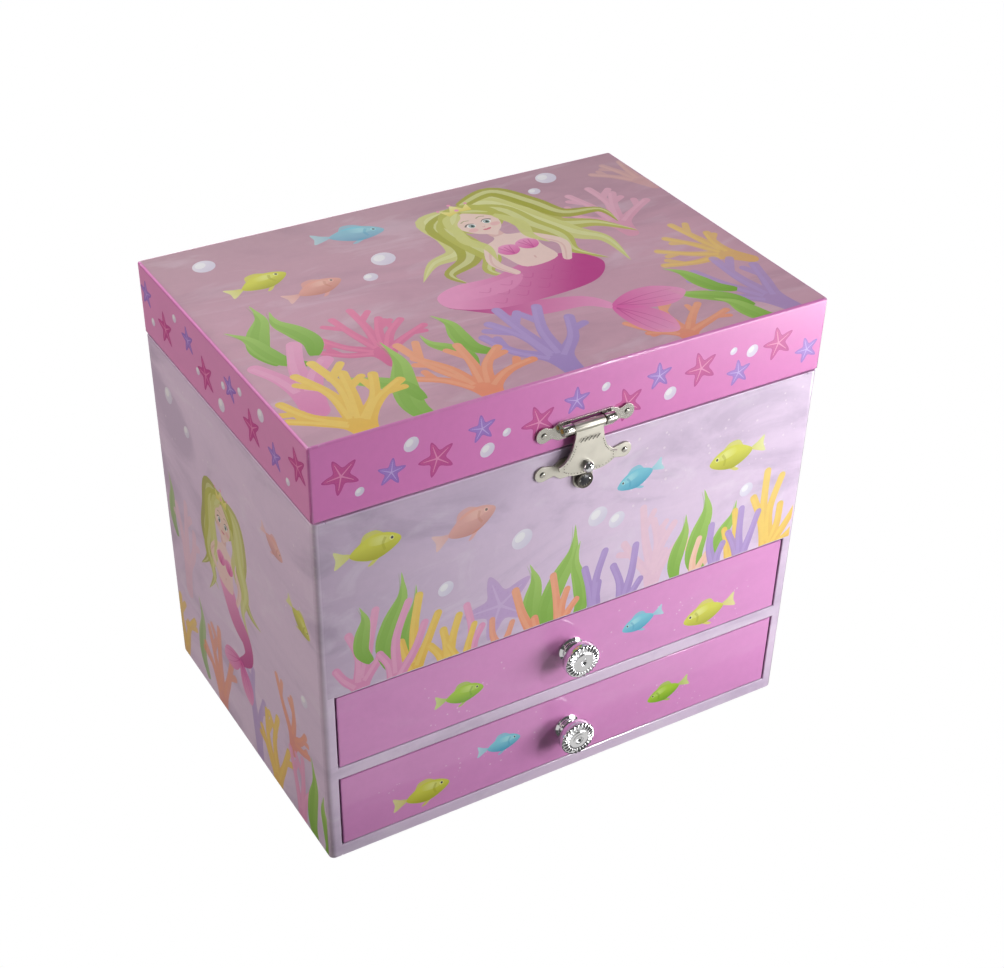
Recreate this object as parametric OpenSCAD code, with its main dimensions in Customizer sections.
// Musical jewellery box: two drawers, hinged lid with a hasp, and a wind-up
// movement under a stage with a turning dancer.
// Origin: middle of the footprint on the underside. The front faces -Y, +Z is up.

/* [Case] */
// Width of the case
box_w = 195; // [180:1:240]
// Depth of the case
box_d = 136; // [130:1:170]
// Height with the lid closed
box_h = 173; // [168:1:190]
// Height of the lid
lid_h = 27.5; // [26:0.5:32]
// Thickness of the side boards
side_t = 4.5; // [3.5:0.1:5]
// Thickness of the other boards
board_t = 4; // [3:0.5:5]
// Thickness of the base and of the shelf between the drawers
shelf_t = 5.2; // [4:0.1:6]
// Radius of the case's upright corners
corner_r = 2; // [0.5:0.5:3]

/* [Drawers] */
// Height of each drawer opening
drawer_h = 31.7; // [30:0.1:34]
// Gap around a drawer's front board
drawer_gap = 0.7; // [0.4:0.1:1.2]
// Diameter of a knob's head
knob_d = 14; // [10:0.5:16]
// How far a knob stands out of its drawer
knob_out = 9.5; // [9.5:0.5:16]

/* [Hasp] */
// Middle of the hasp, to the right of the box's middle
hasp_x = 0.5; // [-3:0.5:3]
// Distance between the two nails of each hasp plate
nail_pitch = 32; // [28:1:36]
// Diameter of the hasp's ball
ball_d = 4.2; // [3.5:0.1:5.5]

/* [Movement] */
// Sideways position of the key
key_x = 55; // [50:1:60]
// Height of the key
key_z = 98; // [97:0.5:102]
// Radius of the spring barrel
barrel_r = 10.8; // [10.5:0.1:11]
// Radius of the pinned cylinder
cylinder_r = 6.5; // [6:0.1:6.8]
// Number of teeth in the comb
comb_teeth = 18; // [12:1:22]

/* [Hidden] */
$fn = 48;

// Case
half_w = box_w / 2;
half_d = box_d / 2;
in_w = half_w - side_t;
in_y = half_d - board_t;
seam_z = box_h - lid_h;
seam_gap = 0.4;
case_top = seam_z - seam_gap;
lid_r = 0.8;
lower_z = shelf_t;
shelf_z = lower_z + drawer_h;
upper_z = shelf_z + shelf_t;
floor_z = upper_z + drawer_h;
tray_z = floor_z + board_t;

// Tray
divider_t = 2;
divider_h = 30;
glue_gap = 0.1;
stage_x = 6;
stage_y = 28;
deck_z = key_z + 13;
deck_t = 3;
pad_t = 1.2;
roll_r = 5;
rolls = 3;

// Drawers
wall_t = 2.5;
front_t = 3.5;
drawer_floor_t = 2.5;
drawer_wall_h = 25;
front_y = -half_d + 0.2;
drawer_back_y = 59;
drawer_half_w = in_w - 1.3;
shank_r = 1.5;
rose_r = 5;
rose_t = 1.2;

// Lid hinges
hinge_y = half_d + 2.3;
hinge_z = seam_z - seam_gap / 2;
hinge_w = 28;
hinge_x = 62;
knuckle_r = 1.9;
pin_r = 0.8;
leaf_t = 0.8;
leaf_h = 12;
run_gap = 0.05;

// Hasp
face_y = -half_d;
plate_t = 0.8;
ear_r = 2.8;
hasp_pin_y = face_y - 2.1;
hasp_pin_z = seam_z + 7.9;
hasp_knuckle_x = 6.2;
hasp_knuckle_w = 3.8;
curl_r = 1.7;
curl_half = 5.8;
catch_z = seam_z - 7.7;
stud_z = seam_z - 14;
stud_r = 3.1;
ball_z = seam_z - 7.3;
nail_r = 0.6;

// Movement: a 30 tooth face gear on the barrel drives 10 tooth pinions
gear_teeth = 30;
pinion_teeth = 10;
wheel_teeth = 20;
module_mm = 0.6;
gear_r = gear_teeth * module_mm / 2;
pinion_r = pinion_teeth * module_mm / 2;
wheel_r = wheel_teeth * module_mm / 2;
tooth_out = 0.4;
tooth_in = 0.8;
face_gear_h = 1.2;
barrel_front = 52;
barrel_back = 59.6;
bed_y = 60;
arbor_y = barrel_front - pinion_r - 0.7;
arbor_r = 1.5;
shaft_r = 1;
fan_shaft_r = 0.6;
fan_z = key_z + wheel_r + pinion_r;
cylinder_x0 = 24;
cylinder_x1 = 42;
ear_t = 1.2;
rod_x = 15;
rod_y = 53.5;
rod_r = 0.8;
deck_gap = 0.4;
table_z = deck_z + deck_t + deck_gap;
table_t = 1.6;
table_r = 13;
spring_z = table_z + table_t;
spring_h = 6;
dancer_z = spring_z + spring_h;

// Lid
lid_in_z = box_h - board_t;
lining_t = 0.8;
glass_t = 2;
mirror_w = 124;
mirror_y0 = -46;
mirror_y1 = 42;
frame_w = 4;
frame_t = 2.6;

// ---- helpers ----

// A block between two corners.
module block(a, b) {
    translate(a) cube(b - a);
}

// A cylinder along X, Y or Z from a point.
module rod_x(p, r, len) {
    translate(p) rotate([0, 90, 0]) cylinder(r = r, h = len);
}
module rod_y(p, r, len) {
    translate(p) rotate([-90, 0, 0]) cylinder(r = r, h = len);
}
module rod_z(p, r, len) {
    translate(p) cylinder(r = r, h = len);
}

// Plan of a side board, with its two outer corners rounded; outer side at -X.
module side_plan(t, r) {
    translate([0, -half_d + r]) square([t, box_d - 2 * r]);
    translate([r, -half_d]) square([t - r, box_d]);
    for (s = [-1, 1])
        translate([r, s * (half_d - r)]) circle(r = r);
}

// A spur gear's outline; its first tooth points along +X.
module gear_outline(teeth, pitch_r) {
    root_r = pitch_r - tooth_in;
    tip_r = pitch_r + tooth_out;
    base_half = 0.32;
    tip_half = 0.18;
    circle(r = root_r);
    for (i = [0 : teeth - 1])
        rotate(i * 360 / teeth)
            polygon([[root_r - 0.4, -base_half], [tip_r, -tip_half],
                [tip_r, tip_half], [root_r - 0.4, base_half]]);
}

// ---- case ----

module base_board() {
    color("plum") block([-in_w, -half_d, 0], [in_w, in_y, shelf_t]);
}

module side_board() {
    translate([-half_w, 0, 0]) linear_extrude(case_top) side_plan(side_t, corner_r);
}

module left_side() {
    color("thistle") side_board();
}

module right_side() {
    color("thistle") mirror([1, 0, 0]) side_board();
}

module back_board() {
    color("thistle") difference() {
        block([-in_w, in_y, 0], [in_w, half_d, case_top]);
        rod_y([key_x, in_y - 1, key_z], arbor_r + 1, board_t + 2);
    }
}

module front_panel() {
    color("thistle") block([-in_w, -half_d, floor_z], [in_w, -in_y, case_top]);
}

module drawer_shelf() {
    color("plum") block([-in_w, -half_d, shelf_z], [in_w, in_y, upper_z]);
}

module tray_floor() {
    color("plum") block([-in_w, -in_y, floor_z], [in_w, in_y, tray_z]);
}

// ---- tray ----

module tray_dividers() {
    top = tray_z + divider_h;
    color("hotpink") {
        block([-in_w, stage_y, tray_z], [stage_x - glue_gap, stage_y + divider_t, top]);
        block([-divider_t / 2, -in_y, tray_z], [divider_t / 2, stage_y - glue_gap, top]);
    }
}

module tray_pads() {
    inset = 0.6;
    y0 = -in_y + inset;
    y1 = stage_y - inset;
    inner = divider_t / 2 + inset;
    outer = in_w - inset;
    color("pink") {
        block([-outer, y0, tray_z], [-inner, y1, tray_z + pad_t]);
        block([inner, y0, tray_z], [outer, y1, tray_z + pad_t]);
    }
}

module ring_cushions() {
    y0 = stage_y + divider_t;
    pitch = (in_y - y0) / rolls;
    len = stage_x + in_w - 2;
    color("pink") for (i = [0 : rolls - 1])
        rod_x([-in_w + 1, y0 + pitch * (i + 0.5), tray_z + roll_r], roll_r, len);
}

module stage_walls() {
    color("hotpink") {
        block([stage_x, stage_y, tray_z], [in_w, stage_y + divider_t, deck_z]);
        block([stage_x, stage_y + divider_t + glue_gap, tray_z], [stage_x + divider_t, in_y, deck_z]);
    }
}

module stage_deck() {
    color("pink") difference() {
        block([stage_x, stage_y, deck_z], [in_w, in_y, deck_z + deck_t]);
        rod_z([key_x, arbor_y, deck_z - 1], arbor_r + 0.08, deck_t + 2);
        rod_z([rod_x, rod_y, deck_z - 1], rod_r + 0.08, deck_t + 2);
    }
}

// ---- lid hinges ----

// One leaf of a butt hinge at x = 0; way is +1 for the leaf that goes up, -1 down.
module butt_leaf(way, knuckles) {
    clear = 1.6;
    difference() {
        union() {
            for (k = knuckles) {
                rod_x([k[0], hinge_y, hinge_z], knuckle_r, k[1] - k[0]);
                z = [hinge_z, hinge_z + way * (clear + 1)];
                block([k[0], half_d, min(z)], [k[1], half_d + leaf_t, max(z)]);
            }
            z = [hinge_z + way * clear, hinge_z + way * leaf_h];
            block([-hinge_w / 2, half_d, min(z)], [hinge_w / 2, half_d + leaf_t, max(z)]);
        }
        rod_x([-hinge_w / 2 - 1, hinge_y, hinge_z], pin_r + run_gap, hinge_w + 2);
        for (s = [-1, 1])
            rod_y([s * hinge_w / 3, half_d - 1, hinge_z + way * 7], 1, leaf_t + 2);
    }
}

module hinge_lower_leaves() {
    third = hinge_w / 6;
    color("gold") for (s = [-1, 1])
        translate([s * hinge_x, 0, 0])
            butt_leaf(-1, [[-hinge_w / 2, -third - 0.3], [third + 0.3, hinge_w / 2]]);
}

module hinge_upper_leaves() {
    third = hinge_w / 6;
    color("gold") for (s = [-1, 1])
        translate([s * hinge_x, 0, 0]) butt_leaf(1, [[-third, third]]);
}

module hinge_pins() {
    color("silver") for (s = [-1, 1])
        rod_x([s * hinge_x - hinge_w / 2 - 0.4, hinge_y, hinge_z], pin_r, hinge_w + 0.8);
}

// ---- hasp ----

// Outline of a stamped plate: two round ears joined by a waisted middle, in X and Z.
module hasp_outline(half_mid, mid_h) {
    ear_x = nail_pitch / 2;
    for (s = [-1, 1]) {
        translate([s * ear_x, 0]) circle(r = ear_r);
        polygon([[s * ear_x, -ear_r], [s * ear_x, ear_r], [s * (half_mid + 2.5), 1.9],
            [s * half_mid, mid_h / 2], [0, mid_h / 2], [0, -mid_h / 2],
            [s * half_mid, -mid_h / 2], [s * (half_mid + 2.5), -1.9]]);
    }
}

// Stands an outline in X and Z up against the front face.
module on_front(x, z, y, t) {
    translate([x, y, z]) rotate([90, 0, 0]) linear_extrude(t) children();
}

module nail_holes(z) {
    for (s = [-1, 1])
        rod_y([hasp_x + s * nail_pitch / 2, face_y - plate_t - 1, z], nail_r, plate_t + 2);
}

module nails(z) {
    for (s = [-1, 1])
        translate([hasp_x + s * nail_pitch / 2, face_y - plate_t, z]) rotate([90, 0, 0]) {
            translate([0, 0, -plate_t - 2.4]) cylinder(r = nail_r, h = plate_t + 2.4);
            cylinder(r1 = 1.2, r2 = 0.7, h = 0.5);
        }
}

module hasp_plate() {
    color("silver") difference() {
        union() {
            on_front(hasp_x, hasp_pin_z - 0.7, face_y, plate_t) hasp_outline(10.5, 6.4);
            for (s = [-1, 1])
                rod_x([hasp_x + s * (hasp_knuckle_x + hasp_knuckle_w / 2) - hasp_knuckle_w / 2,
                    hasp_pin_y, hasp_pin_z], knuckle_r, hasp_knuckle_w);
        }
        block([hasp_x - 6.1, face_y - plate_t - 1, hasp_pin_z - 2.3],
            [hasp_x + 6.1, face_y + 1, hasp_pin_z + 1.9]);
        rod_x([hasp_x - 12, hasp_pin_y, hasp_pin_z], pin_r + run_gap, 24);
        nail_holes(hasp_pin_z - 0.7);
    }
}

module hasp_nails() {
    color("silver") nails(hasp_pin_z - 0.7);
}

module hasp_pin() {
    color("gold") rod_x([hasp_x - 10.2, hasp_pin_y, hasp_pin_z], pin_r, 20.4);
}

// The right half of the leaf's edge, from its narrow top to the middle of its foot.
function leaf_side() = [
    for (i = [0 : 12])
        let (t = i / 12)
        [curl_half - 0.6 + 6.2 * (1 - cos(90 * t)), -13 * sin(90 * t)],
    for (i = [1 : 12])
        let (a = 7.5 * i)
        [3 + 8.4 * cos(a) , -13 - 4.9 * sin(a)]];

module hasp_leaf() {
    right = leaf_side();
    n = len(right);
    left = [for (i = [n - 1 : -1 : 0]) [-right[i][0], right[i][1]]];
    color("silver") difference() {
        union() {
            on_front(hasp_x, hasp_pin_z, hasp_pin_y - 0.5, plate_t) polygon(concat(right, left));
            rod_x([hasp_x - curl_half, hasp_pin_y, hasp_pin_z], curl_r, 2 * curl_half);
        }
        rod_x([hasp_x - 8, hasp_pin_y, hasp_pin_z], pin_r + run_gap, 16);
    }
}

// A domed button: most of a ball, cut flat where it is set on the leaf.
module hasp_ball() {
    radius = ball_d / 2;
    middle_out = 0.6;
    foot = -asin(middle_out / radius);
    profile = [for (i = [0 : 16])
        let (a = foot + (90 - foot) * i / 16)
        [radius * cos(a), middle_out + radius * sin(a)]];
    color("silver") translate([hasp_x - 0.4, hasp_pin_y - 0.5 - plate_t, ball_z])
        rotate([90, 0, 0]) rotate_extrude() polygon(concat([[0, 0]], profile));
}

module catch_plate() {
    color("silver") difference() {
        union() {
            on_front(hasp_x, catch_z, face_y, plate_t) hasp_outline(9, 7.6);
            on_front(hasp_x, stud_z, face_y, plate_t) {
                circle(r = stud_r + 0.7);
                translate([-stud_r - 0.7, 0]) square([2 * stud_r + 1.4, catch_z - stud_z]);
            }
        }
        nail_holes(catch_z);
    }
}

module catch_nails() {
    color("silver") nails(catch_z);
}

module catch_stud() {
    color("dimgray") difference() {
        rod_y([hasp_x, face_y - plate_t - 1.3, stud_z], stud_r, 1.3);
        rod_y([hasp_x, face_y - plate_t - 2, stud_z], stud_r - 0.9, 1.2);
    }
}

// ---- movement ----

// An upright ear on the bed, in the plane across X, reaching forward past the arbors.
module bed_ear(x, z0, z1) {
    block([x, arbor_y - 4, z0], [x + ear_t, bed_y, z1]);
}

module movement_bed() {
    ear_left = cylinder_x0 - 2.2;
    ear_right = cylinder_x1 + 0.6;
    bracket_z = deck_z - 1.8;
    color("silver") difference() {
        union() {
            block([9, bed_y, tray_z + 0.5], [70, in_y, deck_z - 0.4]);
            bed_ear(ear_left, key_z - 5, deck_z - 0.4);
            bed_ear(ear_right, key_z - 5, key_z + 5);
            bed_ear(9.4, fan_z - 3, deck_z - 0.4);
            block([cylinder_x0, arbor_y + 0.5, tray_z + 1.5], [cylinder_x1, bed_y, tray_z + 6]);
            block([key_x - 5, arbor_y - 4, bracket_z], [key_x + 5, bed_y, deck_z - 0.4]);
            block([rod_x - 3, rod_y - 2.5, key_z + 0.5], [rod_x + 3, bed_y, key_z + 2.5]);
        }
        rod_y([key_x, bed_y - 1, key_z], arbor_r + run_gap, board_t + 2);
        rod_x([0, arbor_y, key_z], shaft_r + run_gap, 48);
        rod_x([0, arbor_y, fan_z], fan_shaft_r + run_gap, 30);
        rod_z([key_x, arbor_y, bracket_z - 1], arbor_r + run_gap, 4);
        rod_z([rod_x, rod_y, key_z - 1], rod_r + run_gap, 5);
    }
}

module movement_screws() {
    color("gold") for (s = [-1, 1])
        translate([(cylinder_x0 + cylinder_x1) / 2 + s * 6, arbor_y - 0.5, tray_z + 3.5])
            rotate([90, 0, 0]) difference() {
                union() {
                    cylinder(r = 1.5, h = 1.1);
                    translate([0, 0, -4]) cylinder(r = 0.8, h = 4);
                }
                translate([-2, -0.2, 0.7]) cube([4, 0.4, 1]);
            }
}

module comb() {
    pitch = (cylinder_x1 - cylinder_x0) / comb_teeth;
    base_z = tray_z + 1.5;
    root_z = tray_z + 6;
    tip_z = key_z - cylinder_r - 1.1;
    color("lightgray") difference() {
        union() {
            block([cylinder_x0, arbor_y - 0.5, base_z], [cylinder_x1, arbor_y + 0.5, root_z]);
            for (i = [0 : comb_teeth - 1])
                block([cylinder_x0 + pitch * (i + 0.15), arbor_y - 0.5, root_z - 0.5],
                    [cylinder_x0 + pitch * (i + 0.85), arbor_y + 0.5, tip_z]);
        }
        for (s = [-1, 1])
            rod_y([(cylinder_x0 + cylinder_x1) / 2 + s * 6, arbor_y - 1, tray_z + 3.5], 0.8, 2);
    }
}

module spring_barrel() {
    wall = 1;
    color("goldenrod") difference() {
        union() {
            rod_y([key_x, barrel_front, key_z], barrel_r, barrel_back - barrel_front);
            for (i = [0 : gear_teeth - 1])
                translate([key_x, 0, key_z]) rotate([0, i * 360 / gear_teeth, 0])
                    block([gear_r - 1, barrel_front - face_gear_h, -0.3],
                        [gear_r + 0.9, barrel_front + 0.5, 0.3]);
        }
        rod_y([key_x, barrel_front - 2, key_z], arbor_r + run_gap, 12);
        rod_y([key_x, barrel_front + wall, key_z], barrel_r - wall, 10);
    }
}

// The mainspring is a flat strip wound in a spiral inside the barrel.
module mainspring() {
    turns = 5;
    steps = 20;
    inner = 2;
    outer = barrel_r - 1.6;
    strip = 0.35;
    n = turns * steps;
    function at(i, off) = let (r = inner + (outer - inner) * i / n + off, a = i * 360 / steps)
        [r * cos(a), r * sin(a)];
    color("dimgray") translate([key_x, barrel_back - 0.4, key_z]) rotate([90, 0, 0])
        linear_extrude(barrel_back - barrel_front - 2)
            polygon(concat([for (i = [0 : n]) at(i, 0)], [for (i = [n : -1 : 0]) at(i, strip)]));
}

module pin_cylinder() {
    pitch = (cylinder_x1 - cylinder_x0) / comb_teeth;
    pins_per_track = 3;
    color("goldenrod") difference() {
        union() {
            rod_x([cylinder_x0, arbor_y, key_z], cylinder_r, cylinder_x1 - cylinder_x0);
            for (i = [0 : comb_teeth - 1], k = [0 : pins_per_track - 1])
                translate([cylinder_x0 + pitch * (i + 0.5), arbor_y, key_z])
                    rotate([i * 67 + k * 110, 0, 0])
                        block([-0.2, -0.2, cylinder_r - 1], [0.2, 0.2, cylinder_r + 0.7]);
        }
        rod_x([cylinder_x0 - 1, arbor_y, key_z], shaft_r, 30);
    }
}

module cylinder_arbor() {
    x0 = cylinder_x0 - 5.2;
    wheel_w = 1.6;
    pinion_w = 1.2;
    color("silver") union() {
        rod_x([x0, arbor_y, key_z], shaft_r, key_x - 7 - x0);
        // The pinion faces the barrel with a gap between two teeth.
        translate([key_x - gear_r - pinion_w / 2, arbor_y, key_z]) rotate([0, 90, 0])
            linear_extrude(pinion_w) rotate(90 + 180 / pinion_teeth)
                gear_outline(pinion_teeth, pinion_r);
        translate([x0 + 0.6, arbor_y, key_z]) rotate([0, 90, 0])
            linear_extrude(wheel_w) gear_outline(wheel_teeth, wheel_r);
    }
}

module governor_fan() {
    x0 = 8.8;
    wheel_x = cylinder_x0 - 4.6;
    color("silver") union() {
        rod_x([x0, arbor_y, fan_z], fan_shaft_r, cylinder_x0 - 0.6 - x0);
        // The wheel below has a tooth that points straight up into this pinion's gap.
        translate([wheel_x, arbor_y, fan_z]) rotate([0, 90, 0])
            linear_extrude(1.6) rotate(180 / pinion_teeth) gear_outline(pinion_teeth, pinion_r);
        block([12, arbor_y - 3.3, fan_z - 0.2], [18, arbor_y + 3.3, fan_z + 0.2]);
    }
}

module figurine_shaft() {
    pinion_w = 1.2;
    z0 = key_z + gear_r - pinion_w / 2;
    color("silver") union() {
        rod_z([key_x, arbor_y, z0 - 1.4], arbor_r, spring_z - z0 + 1.4);
        translate([key_x, arbor_y, z0]) linear_extrude(pinion_w) rotate(90)
            gear_outline(pinion_teeth, pinion_r);
    }
}

module turntable() {
    color("white") translate([key_x, arbor_y, table_z]) difference() {
        union() {
            cylinder(r = table_r, h = table_t - 0.6);
            cylinder(r = table_r - 1, h = table_t);
        }
        translate([0, 0, -1]) cylinder(r = arbor_r, h = table_t + 2);
    }
}

module figurine_spring() {
    coils = 8;
    wire_r = 0.4;
    coil_r = 1.7;
    pitch = (spring_h - 2 * wire_r) / (coils - 1);
    color("silver") translate([key_x, arbor_y, spring_z]) union() {
        cylinder(r = coil_r, h = spring_h);
        for (i = [0 : coils - 1])
            translate([0, 0, wire_r + pitch * i]) rotate_extrude()
                translate([coil_r, 0]) circle(r = wire_r, $fn = 16);
    }
}

// The dancer stands on one leg with both arms raised.
module dancer() {
    waist = 18;
    color("bisque") translate([key_x, arbor_y, dancer_z]) union() {
        cylinder(r = 2, h = 1);
        cylinder(r1 = 0.8, r2 = 1.7, h = waist - 2);
        translate([0, 0, waist - 2]) cylinder(r1 = 2.6, r2 = 1.7, h = 4);
        translate([0, 0, waist + 2]) cylinder(r1 = 1.7, r2 = 2.5, h = 5);
        translate([0, 0, waist + 6.6]) cylinder(r = 0.9, h = 3);
        translate([0, 0, waist + 11.4]) sphere(r = 2.8);
        translate([0, 0.6, waist + 14.6]) sphere(r = 1.4);
        for (s = [-1, 1])
            translate([s * 2.1, 0, waist + 6.4]) rotate([0, s * 22, 0]) {
                cylinder(r1 = 0.9, r2 = 0.7, h = 6.4);
                translate([0, 0, 6.2]) rotate([0, -s * 50, 0]) cylinder(r1 = 0.7, r2 = 0.5, h = 6);
            }
    }
}

module dancer_skirt() {
    waist = 18;
    color("hotpink") translate([key_x, arbor_y, dancer_z + waist - 4]) difference() {
        cylinder(r1 = 10.5, r2 = 3.2, h = 2.8);
        translate([0, 0, -1]) cylinder(r = 2.8, h = 6);
    }
}

module key_shaft() {
    color("silver") rod_y([key_x, barrel_front - 2, key_z], arbor_r, half_d + 6 - barrel_front + 2);
}

module winding_key() {
    hub_y = half_d + 1.5;
    hub_len = 6;
    wing_r = 4.2;
    wing_x = 6.2;
    color("silver") translate([key_x, hub_y, key_z]) difference() {
        union() {
            rod_y([0, 0, 0], 3, hub_len);
            translate([0, hub_len + 3.4, -0.9]) linear_extrude(1.8) {
                for (s = [-1, 1])
                    difference() {
                        translate([s * wing_x, 0]) circle(r = wing_r);
                        translate([s * wing_x, 0.4]) circle(r = 1.5);
                    }
                translate([-4, -3.6]) square([8, 5]);
            }
        }
        rod_y([0, -1, 0], arbor_r, hub_len - 0.5);
    }
}

module stop_rod() {
    color("silver") rod_z([rod_x, rod_y, key_z - 2], rod_r, case_top + 0.3 - key_z + 2);
}

// ---- lid ----

module lid_top() {
    color("orchid") translate([0, 0, lid_in_z]) linear_extrude(board_t) {
        square([box_w - 2 * lid_r, box_d], center = true);
        square([box_w, box_d - 2 * lid_r], center = true);
        for (sx = [-1, 1], sy = [-1, 1])
            translate([sx * (half_w - lid_r), sy * (half_d - lid_r)]) circle(r = lid_r);
    }
}

module lid_front_rail() {
    color("orchid") block([-in_w, -half_d, seam_z], [in_w, -in_y, lid_in_z]);
}

module lid_back_rail() {
    color("orchid") block([-in_w, in_y, seam_z], [in_w, half_d, lid_in_z]);
}

module lid_side() {
    translate([-half_w, 0, seam_z]) linear_extrude(lid_in_z - seam_z) side_plan(side_t, lid_r);
}

module lid_left_rail() {
    color("orchid") lid_side();
}

module lid_right_rail() {
    color("orchid") mirror([1, 0, 0]) lid_side();
}

module lid_lining() {
    inset = 0.4;
    color("pink") block([-in_w + inset, -in_y + inset, lid_in_z - lining_t],
        [in_w - inset, in_y - inset, lid_in_z]);
}

module mirror_glass(grow, t) {
    block([-mirror_w / 2 - grow, mirror_y0 - grow, lid_in_z - lining_t - t],
        [mirror_w / 2 + grow, mirror_y1 + grow, lid_in_z - lining_t]);
}

module lid_mirror() {
    color("aliceblue") mirror_glass(0, glass_t);
}

module mirror_frame() {
    color("hotpink") difference() {
        mirror_glass(frame_w, frame_t);
        translate([0, 0, -1]) mirror_glass(0, frame_t + 2);
        mirror_glass(0, glass_t);
    }
}

module lid_stop_block() {
    color("hotpink") block([rod_x - 6, 46.5, seam_z + 0.3], [rod_x + 6, in_y, lid_in_z - lining_t]);
}

// ---- drawers ----

module drawer_front(z0) {
    x = in_w - drawer_gap;
    color("orchid") difference() {
        block([-x, front_y, z0 + 0.4], [x, front_y + front_t, z0 + drawer_h - 0.4]);
        rod_y([0, front_y - 1, z0 + drawer_h / 2], shank_r, front_t + 2);
    }
}

module drawer_walls(z0) {
    y0 = front_y + front_t;
    z1 = z0 + 0.8;
    back_x = drawer_half_w - wall_t - glue_gap;
    color("lavender") {
        for (s = [-1, 1])
            translate([s * (drawer_half_w - wall_t / 2), 0, 0])
                block([-wall_t / 2, y0, z1], [wall_t / 2, drawer_back_y, z1 + drawer_wall_h]);
        block([-back_x, drawer_back_y - wall_t, z1], [back_x, drawer_back_y, z1 + drawer_wall_h]);
    }
}

module drawer_bottom(z0) {
    color("lavender") block([-drawer_half_w + wall_t, front_y + front_t, z0 + 0.8],
        [drawer_half_w - wall_t, drawer_back_y - wall_t, z0 + 0.8 + drawer_floor_t]);
}

module drawer_pad(z0) {
    inset = 0.6;
    z1 = z0 + 0.8 + drawer_floor_t;
    color("pink") block([-drawer_half_w + wall_t + inset, front_y + front_t + inset, z1],
        [drawer_half_w - wall_t - inset, drawer_back_y - wall_t - inset, z1 + pad_t]);
}

module knob_rose(z0) {
    color("silver") translate([0, front_y, z0 + drawer_h / 2]) rotate([90, 0, 0]) difference() {
        rotate_extrude() polygon([[0, 0], [rose_r, 0], [rose_r, 0.5], [rose_r - 0.9, rose_t],
            [0, rose_t]]);
        translate([0, 0, -1]) cylinder(r = shank_r, h = rose_t + 2);
    }
}

module knob(z0) {
    head_r = knob_d / 2;
    stem_r = 2.4;
    head_t = 4.4;
    z_head = knob_out - head_t;
    profile = concat(
        [[0, rose_t], [rose_r - 1.2, rose_t]],
        [for (i = [0 : 8])
            let (a = i * 11.25)
            [stem_r + (rose_r - 1.2 - stem_r) * (1 - sin(a)), rose_t + 2.2 * (1 - cos(a)) + 0.4]],
        [[stem_r, z_head - 0.8], [head_r - 1.2, z_head + 0.6], [head_r, z_head + 1.8],
            [head_r, z_head + 2.8], [head_r - 1.4, knob_out], [head_r - 3, knob_out - 0.5],
            [1.4, knob_out - 0.2], [0, knob_out - 0.9]]);
    color("silver") translate([0, front_y, z0 + drawer_h / 2]) rotate([90, 0, 0]) union() {
        rotate_extrude() polygon(profile);
        translate([0, 0, -front_t - 0.4]) cylinder(r = shank_r, h = front_t + rose_t + 1);
    }
}

module upper_drawer_front() { drawer_front(upper_z); }
module upper_drawer_walls() { drawer_walls(upper_z); }
module upper_drawer_bottom() { drawer_bottom(upper_z); }
module upper_drawer_pad() { drawer_pad(upper_z); }
module upper_knob_rose() { knob_rose(upper_z); }
module upper_knob() { knob(upper_z); }
module lower_drawer_front() { drawer_front(lower_z); }
module lower_drawer_walls() { drawer_walls(lower_z); }
module lower_drawer_bottom() { drawer_bottom(lower_z); }
module lower_drawer_pad() { drawer_pad(lower_z); }
module lower_knob_rose() { knob_rose(lower_z); }
module lower_knob() { knob(lower_z); }

base_board();
left_side();
right_side();
back_board();
front_panel();
drawer_shelf();
tray_floor();
tray_dividers();
tray_pads();
ring_cushions();
stage_walls();
stage_deck();
hinge_lower_leaves();
hinge_pins();
catch_plate();
catch_nails();
catch_stud();
movement_bed();
movement_screws();
comb();
spring_barrel();
mainspring();
pin_cylinder();
cylinder_arbor();
governor_fan();
figurine_shaft();
turntable();
figurine_spring();
dancer();
dancer_skirt();
key_shaft();
winding_key();
stop_rod();
lid_top();
lid_front_rail();
lid_back_rail();
lid_left_rail();
lid_right_rail();
lid_lining();
lid_mirror();
mirror_frame();
lid_stop_block();
hinge_upper_leaves();
hasp_plate();
hasp_nails();
hasp_pin();
hasp_leaf();
hasp_ball();
upper_drawer_front();
upper_drawer_walls();
upper_drawer_bottom();
upper_drawer_pad();
upper_knob_rose();
upper_knob();
lower_drawer_front();
lower_drawer_walls();
lower_drawer_bottom();
lower_drawer_pad();
lower_knob_rose();
lower_knob();
